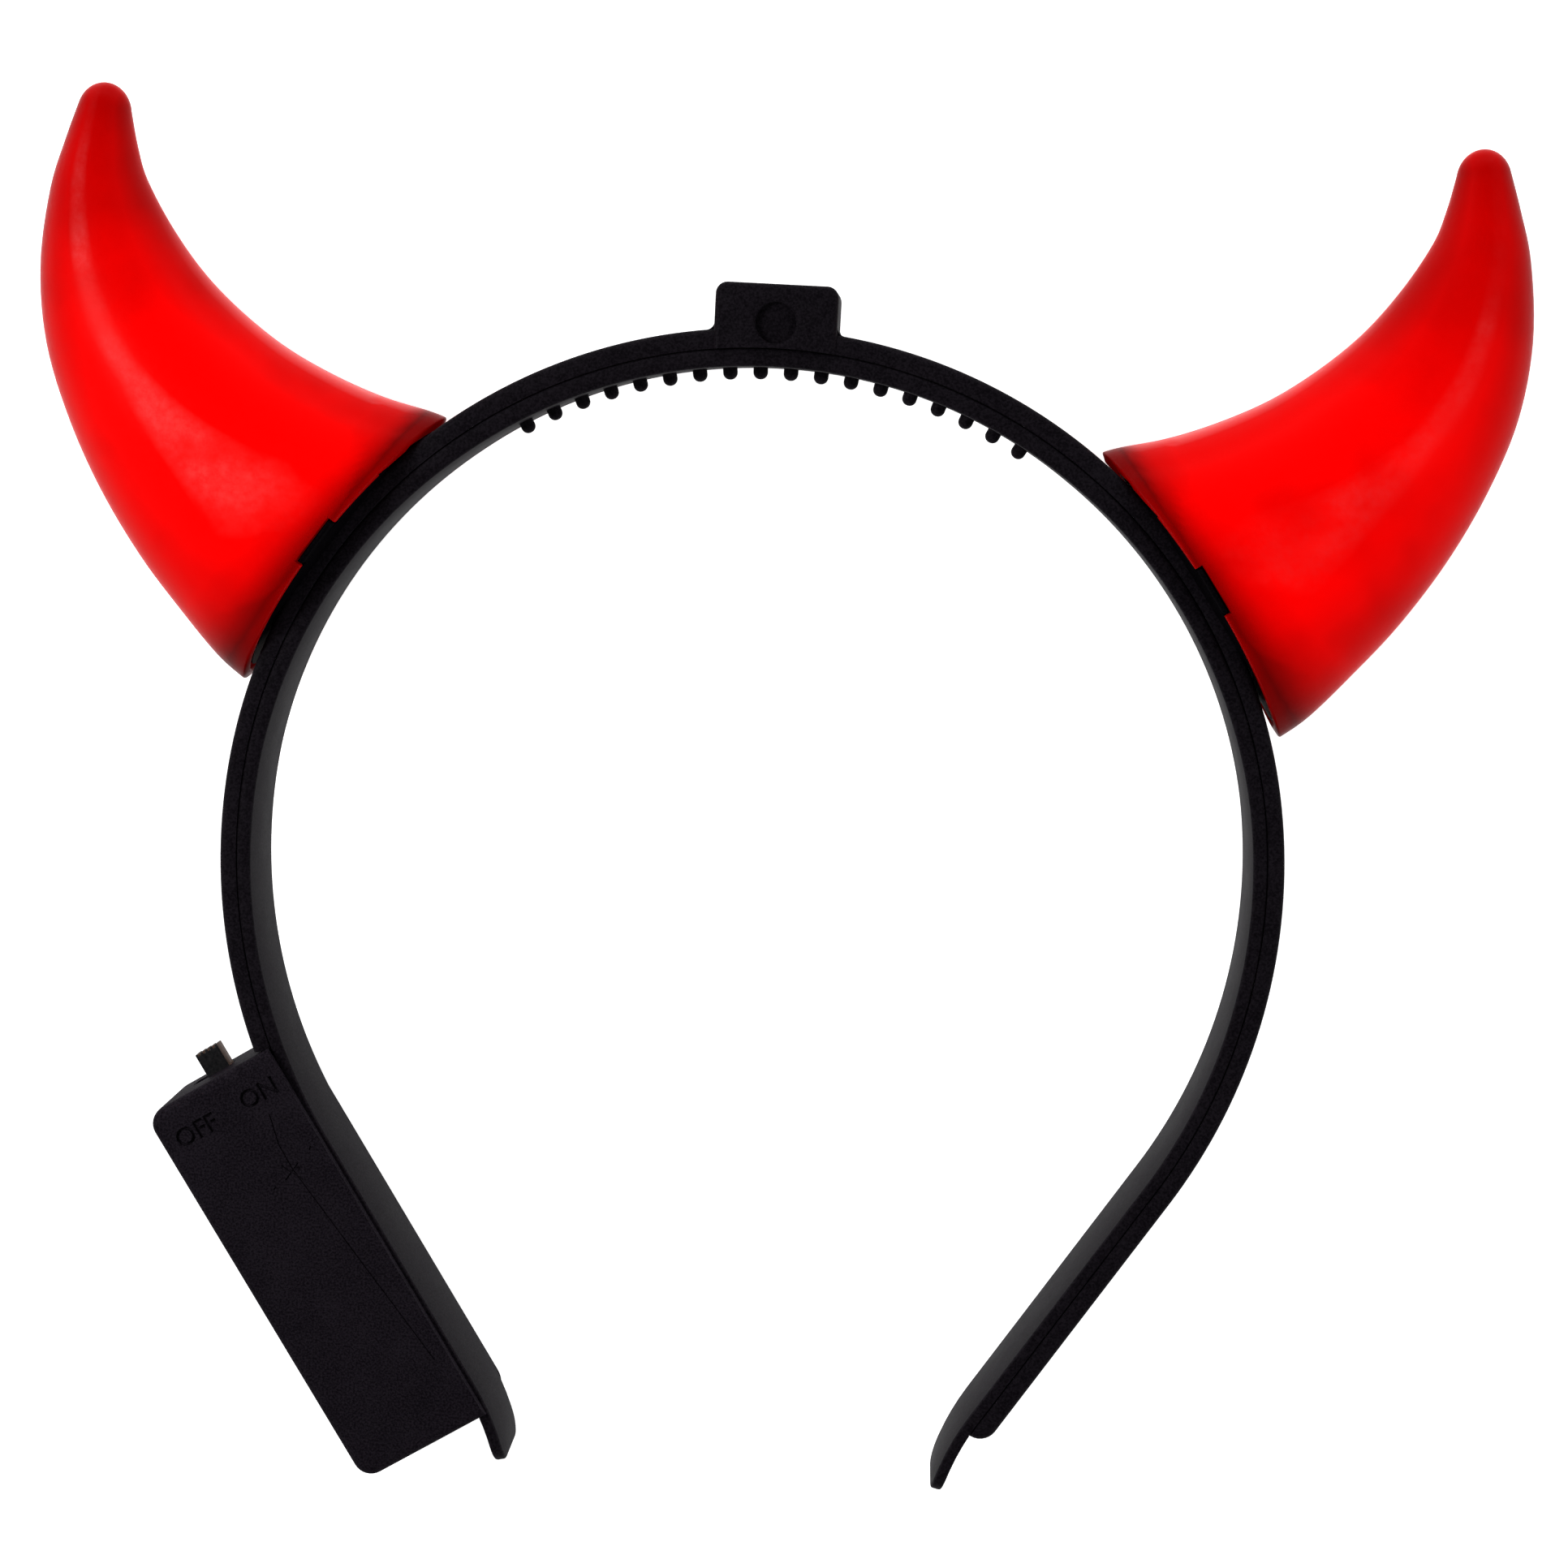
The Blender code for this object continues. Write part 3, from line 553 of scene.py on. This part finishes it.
# The horns: oval sections grown from the base to the tip, then given a wall
horn = {
    "angle": 55.3,         # degrees from the crown to the middle of the base
    "rise": 56.0, "width": 42.0, "depth": 24.0, "wall": 1.5, "sides": 96, "sections": 61,
    "tipLength": 3.1, "tipStart": 12.0, "tipSteps": (20, 29, 38, 47, 56, 65, 74, 82),   # degrees
    "rimRadius": 140.0, "rimSink": 0.45, "rimRound": 0.7,
    "notchWidth": 7.1, "notchHeight": 0.9, "nickWidth": 3.4, "nickTurn": 10.9, "nickSink": 0.1,
    "seatHeight": 3.4, "seatInset": 1.3, "tabRound": 0.25,     # inset in thicknesses of wall
    "rows": (              # rise, sway, width, depth, tilt, share of the rim's saddle curve
        (-0.008, -0.003, 1.043, 1.00, -0.7, 1.00),
        (0.0445, -0.006, 1.020, 1.00, -3.8, 0.70),
        (0.148, -0.009, 0.932, 0.99, -6.9, 0.35),
        (0.274, -0.002, 0.843, 0.96, -10.9, 0.10),
        (0.421, 0.023, 0.740, 0.91, -16.5, 0.00),
        (0.563, 0.067, 0.643, 0.83, -22.6, 0.00),
        (0.698, 0.129, 0.544, 0.73, -29.5, 0.00),
        (0.817, 0.215, 0.431, 0.61, -37.2, 0.00),
        (0.919, 0.321, 0.300, 0.47, -46.8, 0.00),
        (0.970, 0.400, 0.222, 0.375, -55.5, 0.00),
        (1.012, 0.4735, 0.161, 0.283, -62.0, 0.00),
    ),
}


def hornRow(place):
    # a smooth curve through the rows, from 0 at the base to 1 at the last row
    rows = horn["rows"]
    last = len(rows) - 1
    index = min(int(place * last), last - 1)
    t = place * last - index
    near = [rows[max(0, min(last, index + k))] for k in (-1, 0, 1, 2)]
    return [0.5 * (2 * b + (c - a) * t + (2 * a - 5 * b + 4 * c - d) * t ** 2
                   + (3 * b - a - 3 * c + d) * t ** 3) for a, b, c, d in zip(*near)]


def hornAxes(side):
    # away from the hoop's middle, and along the hoop towards the crown
    angle = math.radians(horn["angle"])
    return (Vector((side * math.sin(angle), math.cos(angle), 0)),
            Vector((-side * math.cos(angle), math.sin(angle), 0)))


def ovalMatrix(side, row, inset=0.0, lift=0.0, scale=1.0):
    # takes a unit circle in XY to one oval section of the horn
    rise, sway, width, depth, tilt = row[:5]
    out, along = hornAxes(side)
    tilt = math.radians(tilt)
    chord = along * math.cos(tilt) + out * math.sin(tilt)
    growth = out * math.cos(tilt) - along * math.sin(tilt)
    middle = out * (hoop["radius"] + rise * horn["rise"]) + along * (sway * horn["rise"])
    middle += growth * lift
    chord = chord * ((width * horn["width"] / 2 - inset) * scale)
    deep = Vector((0, 0, (depth * horn["depth"] / 2 - inset) * scale))
    matrix = Matrix((chord, deep, growth)).transposed().to_4x4()
    return Matrix.Translation(middle) @ matrix


def growOvals(side, stations, closeStart):
    # each station is a matrix and its share of the saddle curve, from the base to the tip
    out, along = hornAxes(side)
    bm = bmesh.new()
    ring = bmesh.ops.create_circle(bm, cap_ends=False, segments=horn["sides"], radius=1.0)["verts"]
    edges = list({e for v in ring for e in v.link_edges})
    rings = [ring]
    matrices = [matrix for matrix, saddle in stations]
    bmesh.ops.transform(bm, matrix=matrices[0], verts=ring)
    for last, following in zip(matrices, matrices[1:]):
        grown = bmesh.ops.extrude_edge_only(bm, edges=edges)["geom"]
        ring = [g for g in grown if isinstance(g, bmesh.types.BMVert)]
        edges = [g for g in grown if isinstance(g, bmesh.types.BMEdge)
                 and all(v in ring for v in g.verts)]
        bmesh.ops.transform(bm, matrix=following @ last.inverted(), verts=ring)
        rings.append(ring)
    for ring, (matrix, saddle) in zip(rings, stations):
        for vert in ring:
            reach = (vert.co - matrix.translation).dot(along)
            drop = horn["rimRadius"] - math.sqrt(horn["rimRadius"] ** 2 - reach ** 2)
            vert.co -= out * drop * saddle
    bmesh.ops.holes_fill(bm, edges=edges, sides=0)
    if closeStart:
        bmesh.ops.holes_fill(bm, edges=bm.edges, sides=0)
    bmesh.ops.recalc_face_normals(bm, faces=bm.faces)
    return bm


def markPlace(bm, side):
    # UV: place from the rim to the tip, and across from the outer to the inner edge
    cuts = []
    for i in range(horn["sections"]):
        matrix = ovalMatrix(side, hornRow(i / (horn["sections"] - 1)))
        chord = matrix.to_3x3().col[0]
        cuts.append((matrix.translation, matrix.to_3x3().col[2].normalized(),
                     chord.normalized(), chord.length))
    spots = {}
    for vert in bm.verts:
        best = min(range(len(cuts)), key=lambda i: abs((vert.co - cuts[i][0]).dot(cuts[i][1]))
                   + max(0, abs((vert.co - cuts[i][0]).dot(cuts[i][2])) - 1.2 * cuts[i][3]))
        middle, growth, chord, half = cuts[best]
        off = vert.co - middle
        spots[vert] = ((best + min(0, off.dot(growth))) / (len(cuts) - 1),
                       0.5 + off.dot(chord) / half / 2)
    layer = bm.loops.layers.uv.new("place")
    for face in bm.faces:
        for loop in face.loops:
            loop[layer].uv = spots[loop.vert]
    return bm


def ontoHorn(bm, side):
    # from the crown to one horn's place
    return turnedBy(bm, math.radians(-side * horn["angle"]))


def block(width, top, deep, tall=10.0):
    return bar((width, tall, deep), (0, top - tall / 2, 0))


def hoopBed(bm):
    # cuts away what would stand inside the hoop
    bed = cylinder(hoop["radius"] + hoop["gap"], hoop["depth"] + 2 * hoop["gap"], fineSides)
    return combine(bm, bed, "DIFFERENCE")


def makeHorn(side):
    stations = []
    for i in range(horn["sections"]):
        row = hornRow(i / (horn["sections"] - 1))
        stations.append((ovalMatrix(side, row), row[5]))
    lean = math.radians(horn["tipStart"])
    for degrees in horn["tipSteps"]:
        angle = math.radians(degrees)
        lift = horn["tipLength"] * (math.sin(angle) - math.sin(lean)) / (1 - math.sin(lean))
        stations.append((ovalMatrix(side, horn["rows"][-1], 0.0, lift,
                                    math.cos(angle) / math.cos(lean)), 0.0))
    shell = workObject(growOvals(side, stations, False))
    wall = shell.modifiers.new("wall", "SOLIDIFY")
    wall.thickness = horn["wall"]
    wall.offset = -1
    wall.use_even_offset = True
    bm = applied(shell)
    roundOff(bm, sharpEdges(bm), horn["rimRound"], 3)
    top = hoop["radius"] - horn["rimSink"] + horn["notchHeight"]
    notch = block(horn["notchWidth"], top, 3 * horn["depth"])
    bm = combine(bm, ontoHorn(notch, side), "DIFFERENCE")
    nick = block(horn["nickWidth"], hoop["radius"] - horn["nickSink"], 3 * horn["depth"])
    turnedBy(nick, math.radians(side * horn["nickTurn"]))
    bm = combine(bm, ontoHorn(nick, side), "DIFFERENCE")
    return markPlace(hoopBed(bm), side)


def makeSeat(side):
    inset = horn["seatInset"] * horn["wall"] + hoop["gap"]
    base, upper = list(horn["rows"][0]), list(horn["rows"][1])
    upper[0] = horn["seatHeight"] / horn["rise"]
    bm = growOvals(side, [(ovalMatrix(side, base, inset), base[5]),
                          (ovalMatrix(side, upper, inset), base[5])], True)
    half = horn["notchWidth"] / 2 - hoop["gap"]
    low = hoop["radius"] - horn["rimSink"]
    high = low + horn["notchHeight"] - hoop["gap"]
    tab = bar((2 * half, high - low, horn["depth"]), (0, (low + high) / 2, 0))
    roundOff(tab, tab.edges[:], horn["tabRound"], 3)
    return hoopBed(combine(bm, ontoHorn(tab, side), "UNION"))


for side, word in ((-1, "left"), (1, "right")):
    finishPiece("horn." + word, makeHorn(side), reds[word], "horn_" + word)
    finishPiece("hornSeat." + word, makeSeat(side), seatPaintedShade,
                "horn_seat_" + word)
print("horns made")


# The battery box on the left leg: local X points away from the head, local Y down the leg
knob = {"width": 3.4, "offset": 0.4, "depth": 2.4, "proud": 3.4, "backset": 1.0, "travel": 2.0,
        "ridges": 5, "ridge": 0.35, "footExtra": 1.6, "footHeight": 1.0, "edge": 0.12}
words = {"size": 3.5, "deep": 0.4, "bold": 0.05,           # places in local X and Y
         "places": (("OFF", 81.2, -4.2), ("ON", 71.3, -4.5))}
marks = {                  # moulding flow lines and a small pit on the box's front, local X and Y
    "wide": 0.18, "deep": 0.16,
    "lines": (
        ((71.5, -2.5), (72.5, 1.5)), ((72.5, 1.5), (72.6, 5.2)), ((72.6, 5.2), (71.0, 21.0)),
        ((71.0, 21.0), (69.3, 37.0)), ((71.6, 5.0), (74.2, 6.2)), ((72.1, 7.2), (73.7, 4.2)),
        ((68.9, 3.8), (69.3, 4.2)), ((75.8, 6.3), (76.3, 6.6)),
    ),
    "pit": (71.9, 5.7), "pitWide": 0.9, "pitDeep": 0.5,
}
straightEnd = sum(run for run, turn in hoopRuns()[:3])
caseInner = legOffset - cover["thick"] * shares(straightEnd)[0] + hoop["gap"] / 2
caseHalf = hoop["depth"] / 2 + hoop["gap"] + case["lipWall"]
knobMiddle = caseInner + case["reach"] / 2 + knob["offset"]


def ontoLeg(bm):
    return turnedBy(bm, math.radians(180 + hoop["lean"]))


def between(low, high):
    size = [b - a for a, b in zip(low, high)]
    return bar(size, [(a + b) / 2 for a, b in zip(low, high)])


def scored(bm, start, end):
    # a fine straight groove in the front of the box
    along = Vector(end) - Vector(start)
    tool = bar((along.length, marks["wide"], 2 * marks["deep"]), (0, 0, caseHalf))
    turnedBy(tool, math.atan2(along.y, along.x))
    middle = (Vector(start) + Vector(end)) / 2
    bmesh.ops.translate(tool, vec=(middle.x, middle.y, 0), verts=tool.verts)
    return combine(bm, tool, "DIFFERENCE")


def makeWord(text, across, down):
    # a solid word, half of it inside the box's front
    curve = bpy.data.curves.new("word", "FONT")
    curve.body = text
    curve.size = words["size"]
    curve.extrude = words["deep"]
    curve.offset = words["bold"]
    curve.align_x = "CENTER"
    curve.resolution_u = 3
    obj = bpy.data.objects.new("word", curve)
    scene.collection.objects.link(obj)
    bm = applied(obj)
    bpy.data.curves.remove(curve)
    bmesh.ops.remove_doubles(bm, verts=bm.verts, dist=close / 10)
    turnedBy(bm, math.pi)
    bmesh.ops.translate(bm, vec=(across, down, caseHalf), verts=bm.verts)
    return bm


def makeCase():
    inner, wall = caseInner, case["wall"]
    outer, edge = inner + case["reach"], inner - case["overhang"]
    low, high = case["start"], case["start"] + case["length"]
    bm = between((edge, low, -caseHalf), (outer, high, caseHalf))
    roundOff(bm, edgesWhere(bm, lambda a, b: a.x > inner and abs(a.z - b.z) > caseHalf),
             case["corner"], 8)
    roundOff(bm, edgesWhere(bm, lambda a, b: abs(a.z - b.z) < close and max(a.x, b.x) > inner),
             case["edge"], 6)
    room = between((inner + wall, low + wall, -2 * caseHalf),
                   (outer - wall, high - wall, caseHalf - wall))
    bm = combine(bm, room, "DIFFERENCE")
    bed = hoop["depth"] / 2 + hoop["gap"]
    slot = between((edge - wall, low - wall, -bed), (inner, high + wall, bed))
    bm = combine(bm, slot, "DIFFERENCE")
    wide = (knob["width"] + knob["travel"]) / 2 + hoop["gap"]
    deep = knob["depth"] / 2 + hoop["gap"]
    mouth = between((knobMiddle - wide, low - wall, -knob["backset"] - deep),
                    (knobMiddle + wide, low + 2 * wall, -knob["backset"] + deep))
    bm = combine(bm, mouth, "DIFFERENCE")
    for place in words["places"]:
        bm = combine(bm, makeWord(*place), "DIFFERENCE")
    for line in marks["lines"]:
        bm = scored(bm, *line)
    pit = bmesh.new()
    bmesh.ops.create_cone(pit, cap_ends=True, segments=12, radius1=0, radius2=marks["pitWide"],
                          depth=2 * marks["pitDeep"])
    bmesh.ops.translate(pit, vec=(*marks["pit"], caseHalf), verts=pit.verts)
    return ontoLeg(combine(bm, pit, "DIFFERENCE"))


def makeLid():
    inset = case["wall"] + hoop["gap"]
    bm = between((caseInner + inset, case["start"] + inset, -caseHalf),
                 (caseInner + case["reach"] - inset, case["start"] + case["length"] - inset,
                  -caseHalf + case["lid"]))
    roundOff(bm, bm.edges[:], case["lidEdge"], 3)
    return ontoLeg(bm)


def makeKnob():
    half = knob["width"] / 2
    behind = case["wall"] + hoop["gap"]
    top = -knob["proud"] + knob["ridge"]
    deep = knob["depth"] / 2
    bm = between((-half, top, -deep), (half, behind + knob["footHeight"] / 2, deep))
    pitch = knob["width"] / (2 * knob["ridges"] - 1)
    for i in range(1, 2 * knob["ridges"] - 1):
        cutAt(bm, (-half + i * pitch, 0, 0))
    for i in range(knob["ridges"]):
        spot = -half + (2 * i + 0.5) * pitch
        face = [f for f in bm.faces if f.normal.y < -0.9
                and abs(f.calc_center_median().x - spot) < pitch / 4]
        grown = bmesh.ops.extrude_face_region(bm, geom=face)["geom"]
        moved = [g for g in grown if isinstance(g, bmesh.types.BMVert)]
        bmesh.ops.translate(bm, vec=(0, -knob["ridge"], 0), verts=moved)
    roundOff(bm, sharpEdges(bm), knob["edge"] / 2, 2)
    foot = half + knob["footExtra"]
    base = between((-foot, behind, -deep), (foot, behind + knob["footHeight"], deep))
    roundOff(base, base.edges[:], knob["edge"], 2)
    bm = combine(bm, base, "UNION")
    spot = (knobMiddle - knob["travel"] / 2, case["start"], -knob["backset"])
    bmesh.ops.translate(bm, vec=spot, verts=bm.verts)
    return ontoLeg(bm)


finishPiece("batteryCase", makeCase(), boxBlack, "battery_case")
finishPiece("batteryCover", makeLid(), boxBlack, "battery_cover")
finishPiece("switchKnob", makeKnob(), switchBlack, "switch_knob", "switch")
print("battery box made")


# Floor, light and camera
studio = {
    "floor": 3.0,
    "floorColor": (0.90, 0.90, 0.90),
    "floorGlow": 0.8,
    "skyStops": ((0.0, 0.8), (0.5, 0.8), (0.60, 1.0), (0.78, 0.8), (0.88, 0.10), (1.0, 0.04)),
    "softboxes": (         # place, target, size, power
        ("top", (0.0, 0.60, 0.16), (0.0, 0.03, 0.01), (0.70, 0.05), 0.6),
        ("left", (-0.36, 0.13, 0.40), (-0.08, 0.05, 0.02), (0.08, 0.14), 1.2),
        ("right", (0.36, 0.10, 0.42), (0.08, 0.05, 0.02), (0.08, 0.08), 0.3),
    ),
    # the camera's places are in millimetres from the hoop's middle
    "view": {"spot": (19.04, 58.63, 372.51), "target": (4.13, 11.26, 6.5),
             "up": (-0.0523, 0.9986, 0.0), "angle": 30.784},
}


def makeFloor():
    bm = bmesh.new()
    bmesh.ops.create_grid(bm, x_segments=1, y_segments=1, size=studio["floor"])
    mesh = bpy.data.meshes.new("floor")
    bm.to_mesh(mesh)
    bm.free()
    floor = bpy.data.objects.new("floor", mesh)
    scene.collection.objects.link(floor)
    material, _, _, shader = newMaterial("floorPaint")
    shader.inputs["Base Color"].default_value = (*studio["floorColor"], 1)
    shader.inputs["Roughness"].default_value = 0.9
    shader.inputs["Specular IOR Level"].default_value = 0.1
    shader.inputs["Emission Color"].default_value = (1, 1, 1, 1)
    shader.inputs["Emission Strength"].default_value = studio["floorGlow"]
    mesh.materials.append(material)


def makeSky():
    world = bpy.data.worlds.new("studio")
    world.use_nodes = True
    nodes, links = world.node_tree.nodes, world.node_tree.links
    direction = nodes.new("ShaderNodeTexCoord").outputs["Generated"]
    split = nodes.new("ShaderNodeSeparateXYZ")
    links.new(direction, split.inputs[0])
    height = nodes.new("ShaderNodeMapRange")
    height.inputs["From Min"].default_value = -1
    links.new(split.outputs["Z"], height.inputs["Value"])
    strength = 2
    stops = [(place, gray(level / strength)) for place, level in studio["skyStops"]]
    color = rampFrom(nodes, links, height.outputs["Result"], stops)
    links.new(color, nodes["Background"].inputs["Color"])
    nodes["Background"].inputs["Strength"].default_value = strength
    scene.world = world


def addSoftbox(name, spot, target, size, power):
    light = bpy.data.lights.new(name, "AREA")
    light.shape = "RECTANGLE"
    light.size, light.size_y = size
    light.energy = power
    lamp = bpy.data.objects.new(name, light)
    lamp.location = spot
    lamp.rotation_euler = (Vector(target) - Vector(spot)).to_track_quat("-Z", "Y").to_euler()
    scene.collection.objects.link(lamp)


def makeCamera():
    view = studio["view"]
    spot, target = ((Vector(view[end]) + hoopShift) * mm for end in ("spot", "target"))
    ahead = (target - spot).normalized()
    right = ahead.cross(Vector(view["up"])).normalized()
    upward = right.cross(ahead)
    data = bpy.data.cameras.new("camera")
    data.angle = math.radians(view["angle"])
    data.clip_start = 0.01
    camera = bpy.data.objects.new("camera", data)
    camera.matrix_world = Matrix.Translation(spot) @ Matrix(
        (right, upward, -ahead)).transposed().to_4x4()
    scene.collection.objects.link(camera)
    scene.camera = camera


makeFloor()
makeSky()
for box in studio["softboxes"]:
    addSoftbox(*box)
makeCamera()
scene.view_settings.view_transform = "Standard"
print("studio made")
